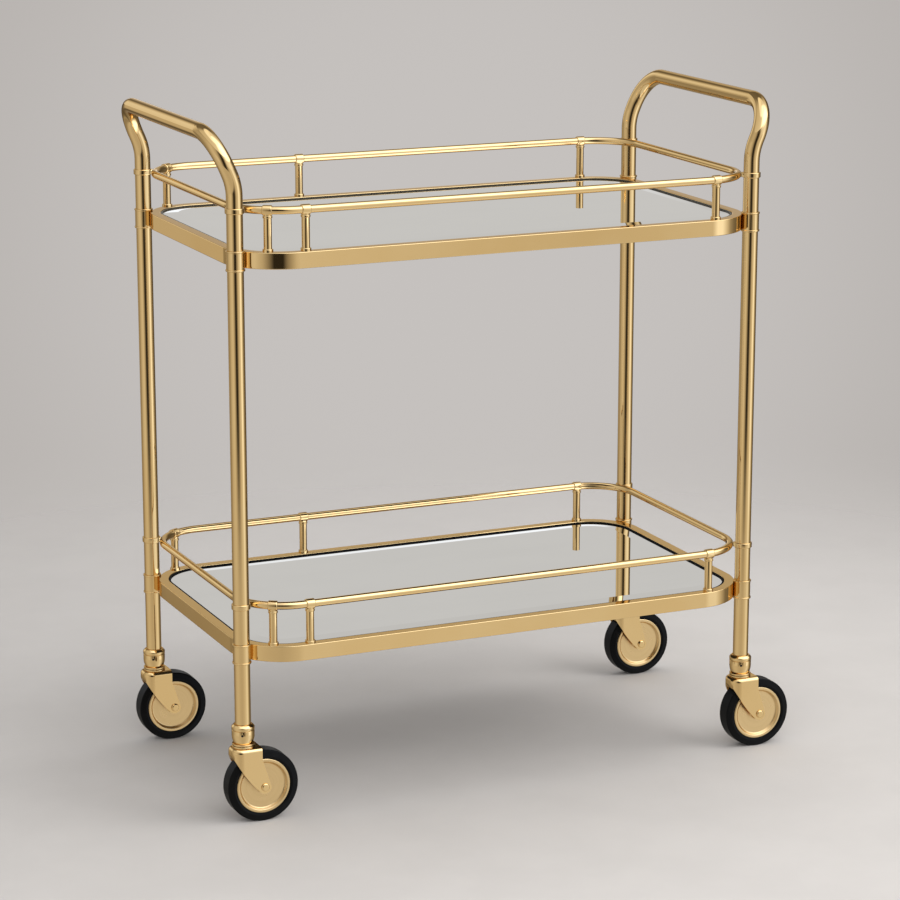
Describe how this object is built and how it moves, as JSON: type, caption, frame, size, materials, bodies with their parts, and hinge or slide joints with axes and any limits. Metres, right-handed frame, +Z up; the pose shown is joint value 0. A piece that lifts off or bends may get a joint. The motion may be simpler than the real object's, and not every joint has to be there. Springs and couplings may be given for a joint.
{
  "type": "bar cart",
  "caption": "Two-tier serving cart of gold tube with mirror trays, gallery rails, arched end handles and swivel casters.",
  "frame": {"origin": "middle of the footprint on the floor, with all four wheels trailing towards +X", "axes": "+Z up, +X along the cart towards the right end, -Y towards the front"},
  "size_m": [0.8014, 0.4, 0.8645],
  "materials": {
    "polished_gold": "polished gold plate",
    "satin_gold": "satin gold",
    "steel": "zinc plated",
    "mirror_glass": "silvered",
    "board_black": "black paint",
    "black_rubber": "semi-matte"
  },
  "bodies": {
    "frame": {"bearing_balls": "steel", "caster_socket_back_left": "polished_gold", "caster_socket_back_right": "polished_gold", "caster_socket_front_left": "polished_gold", "caster_socket_front_right": "polished_gold", "handle_left": "polished_gold", "handle_right": "polished_gold", "joiner_plugs": "steel", "joiner_studs": "steel", "kingpins": "polished_gold", "leg_back_left": "polished_gold", "leg_back_right": "polished_gold", "leg_end_plugs": "steel", "leg_front_left": "polished_gold", "leg_front_right": "polished_gold", "lower_backing_board": "board_black", "lower_gallery_rail": "polished_gold", "lower_mirror": "mirror_glass", "lower_mirror_seal": "black_rubber", "lower_rail_rings": "polished_gold", "lower_rail_tees": "polished_gold", "lower_spindles": "polished_gold", "lower_tray_frame": "polished_gold", "lower_tray_sleeves": "polished_gold", "post_back_left": "polished_gold", "post_back_right": "polished_gold", "post_front_left": "polished_gold", "post_front_right": "polished_gold", "socket_grub_screws": "steel", "spindle_screws": "steel", "upper_backing_board": "board_black", "upper_gallery_rail": "polished_gold", "upper_mirror": "mirror_glass", "upper_mirror_seal": "black_rubber", "upper_races": "polished_gold", "upper_rail_rings": "polished_gold", "upper_rail_tees": "polished_gold", "upper_spindles": "polished_gold", "upper_tray_frame": "polished_gold", "upper_tray_sleeves": "polished_gold"},
    "caster_front_left": {"caster_fork_front_left": "polished_gold", "lower_race_front_left": "polished_gold", "axle_front_left": "polished_gold"},
    "wheel_front_left": {"wheel_centre_front_left": "satin_gold", "tyre_front_left": "black_rubber"},
    "caster_front_right": {"caster_fork_front_right": "polished_gold", "lower_race_front_right": "polished_gold", "axle_front_right": "polished_gold"},
    "wheel_front_right": {"wheel_centre_front_right": "satin_gold", "tyre_front_right": "black_rubber"},
    "caster_back_left": {"caster_fork_back_left": "polished_gold", "lower_race_back_left": "polished_gold", "axle_back_left": "polished_gold"},
    "wheel_back_left": {"wheel_centre_back_left": "satin_gold", "tyre_back_left": "black_rubber"},
    "caster_back_right": {"caster_fork_back_right": "polished_gold", "lower_race_back_right": "polished_gold", "axle_back_right": "polished_gold"},
    "wheel_back_right": {"wheel_centre_back_right": "satin_gold", "tyre_back_right": "black_rubber"}
  },
  "joints": [
    {"name": "swivel_front_left", "type": "hinge", "parent": "frame", "child": "caster_front_left", "pos_m": [-0.36528, -0.17, 0.0975], "axis": [0, 0, 1], "continuous": true},
    {"name": "roll_front_left", "type": "hinge", "parent": "caster_front_left", "child": "wheel_front_left", "pos_m": [-0.34327, -0.17, 0.046], "axis": [0, 1, 0], "continuous": true},
    {"name": "swivel_front_right", "type": "hinge", "parent": "frame", "child": "caster_front_right", "pos_m": [0.33274, -0.17, 0.0975], "axis": [0, 0, 1], "continuous": true},
    {"name": "roll_front_right", "type": "hinge", "parent": "caster_front_right", "child": "wheel_front_right", "pos_m": [0.35474, -0.17, 0.046], "axis": [0, 1, 0], "continuous": true},
    {"name": "swivel_back_left", "type": "hinge", "parent": "frame", "child": "caster_back_left", "pos_m": [-0.36528, 0.17, 0.0975], "axis": [0, 0, 1], "continuous": true},
    {"name": "roll_back_left", "type": "hinge", "parent": "caster_back_left", "child": "wheel_back_left", "pos_m": [-0.34327, 0.17, 0.046], "axis": [0, 1, 0], "continuous": true},
    {"name": "swivel_back_right", "type": "hinge", "parent": "frame", "child": "caster_back_right", "pos_m": [0.33274, 0.17, 0.0975], "axis": [0, 0, 1], "continuous": true},
    {"name": "roll_back_right", "type": "hinge", "parent": "caster_back_right", "child": "wheel_back_right", "pos_m": [0.35474, 0.17, 0.046], "axis": [0, 1, 0], "continuous": true}
  ]
}
